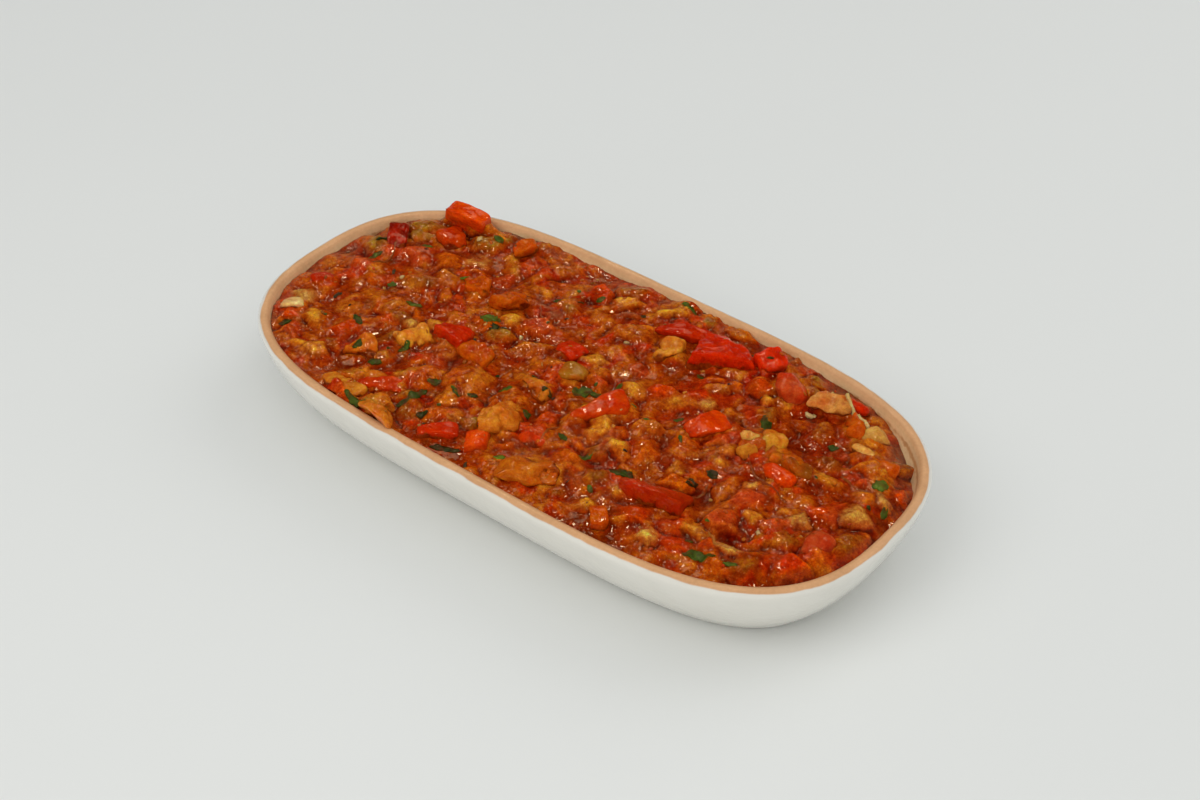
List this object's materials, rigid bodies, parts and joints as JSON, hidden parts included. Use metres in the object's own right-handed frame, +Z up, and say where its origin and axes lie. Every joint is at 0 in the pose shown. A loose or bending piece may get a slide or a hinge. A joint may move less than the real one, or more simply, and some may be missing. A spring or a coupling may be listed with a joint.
{
  "type": "roasted vegetable baba ghanoush in an oval dish",
  "caption": "Long oval baking dish filled to its lip with a chunky roasted mash of eggplant, red pepper, tomato and onion with chopped herbs.",
  "frame": {"origin": "middle of the dish's flat base, at the height that it stands on", "axes": "+X along the dish's length, +Y across it, +Z up"},
  "size_m": [0.24, 0.1192, 0.0363],
  "materials": {
    "dish": "stands for white-glazed terracotta, unglazed inside and on the lip",
    "mash": "stands for wet, glossy vegetable mash",
    "pepper": "stands for wet, glossy roasted pepper",
    "tomato": "stands for wet, soft tomato",
    "eggplant": "stands for wet, soft roasted eggplant",
    "onion": "stands for wet, translucent onion"
  },
  "bodies": {
    "root": {"dish": "dish", "vegetable_mash": "mash", "pepper_upright": "pepper", "pepper_big_red": "pepper", "pepper_big_red_end": "pepper", "tomato_round_pink": "tomato", "eggplant_amber_big": "eggplant", "pepper_orange_bent": "pepper", "eggplant_slab_right": "eggplant", "pepper_strip_front": "pepper", "eggplant_orange_ridged": "eggplant", "eggplant_orange_block": "eggplant", "pepper_red_fold": "pepper", "pepper_orange_soft": "pepper", "eggplant_yellow_lumps": "eggplant", "eggplant_yellow_leafed": "eggplant", "eggplant_yellow_lip": "eggplant", "pepper_front_orange": "pepper", "eggplant_pale_front": "eggplant", "pepper_cube_front": "pepper", "tomato_long_front": "tomato", "onion_round_brown": "onion", "eggplant_amber_skin": "eggplant", "pepper_bright_right": "pepper", "eggplant_cube_middle": "eggplant", "eggplant_skin_back": "eggplant", "eggplant_back_right": "eggplant", "tomato_right": "tomato"}
  },
  "joints": []
}
